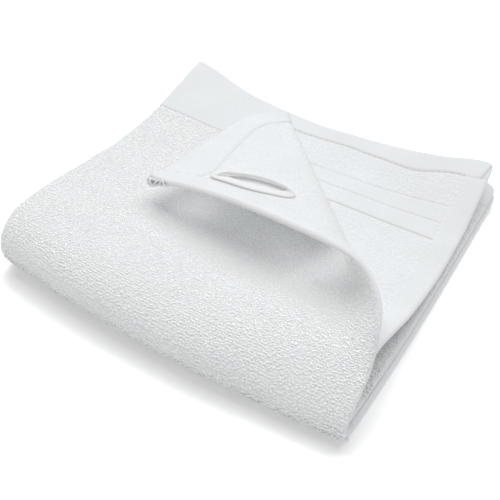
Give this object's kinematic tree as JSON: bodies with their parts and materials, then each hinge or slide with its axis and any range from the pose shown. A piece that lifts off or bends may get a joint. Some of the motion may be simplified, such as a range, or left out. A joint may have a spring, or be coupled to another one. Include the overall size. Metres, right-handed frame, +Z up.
{
  "type": "washcloth",
  "caption": "White terry washcloth folded in quarters, its top corner turned back to show a sewn hanging loop.",
  "frame": {"origin": "the middle of the part's box, at the height of the surface that it lies on", "axes": "+Z up; X along the front fold, +X towards the free side edges; +Y from the front fold to the hemmed ends"},
  "size_m": [0.1554, 0.154, 0.0433],
  "materials": {
    "terry": "uncut cotton loop pile with smooth hems, white, matt",
    "tape": "narrow woven cotton tape, white, matt"
  },
  "bodies": {
    "root": {"cloth": "terry", "hanging_loop": "tape"}
  },
  "joints": []
}
